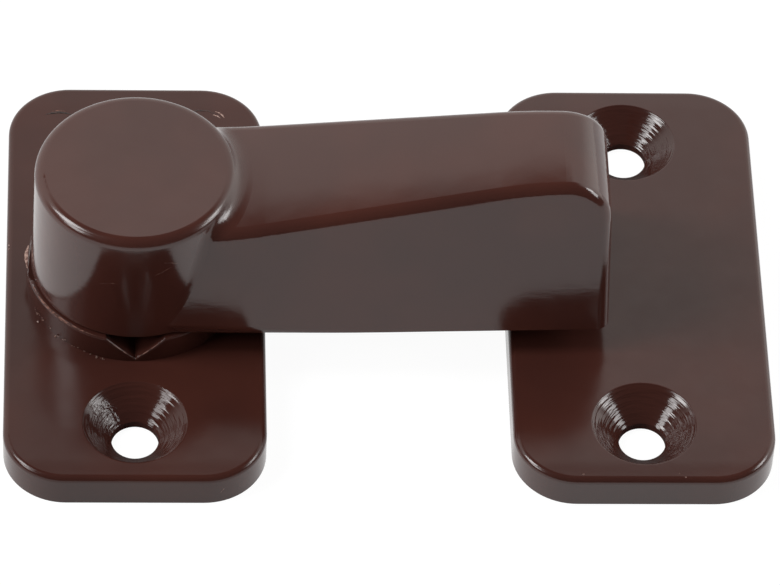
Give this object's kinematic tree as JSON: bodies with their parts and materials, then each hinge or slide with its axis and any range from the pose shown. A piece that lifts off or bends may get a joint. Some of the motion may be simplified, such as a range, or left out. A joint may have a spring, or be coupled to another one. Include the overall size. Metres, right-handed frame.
{
  "type": "door turn button",
  "caption": "Moulded plastic turn button with a cranked lever on a notched screw-down base, and its separate keeper plate.",
  "frame": {"origin": "on the pivot axis, in the plane of the surface that both plates are screwed to", "axes": "+Z out of that surface along the pivot axis, +X along the lever towards its tip, Y along the screw holes"},
  "size_m": [0.0734, 0.05, 0.0227],
  "materials": {
    "brown_plastic": "satin moulded, with polished edges",
    "plated_steel": "zinc plated",
    "spring_steel": "drawn wire"
  },
  "bodies": {
    "base": {"base_plate": "brown_plastic", "keeper_plate": "brown_plastic", "detent_spring": "spring_steel"},
    "button": {"turn_button": "brown_plastic", "pivot_screw": "plated_steel", "pivot_washer": "plated_steel"}
  },
  "joints": [
    {"name": "button_turn", "type": "hinge", "parent": "base", "child": "button", "pos_m": [0, 0, 0], "axis": [0, 0, 1], "continuous": true}
  ]
}
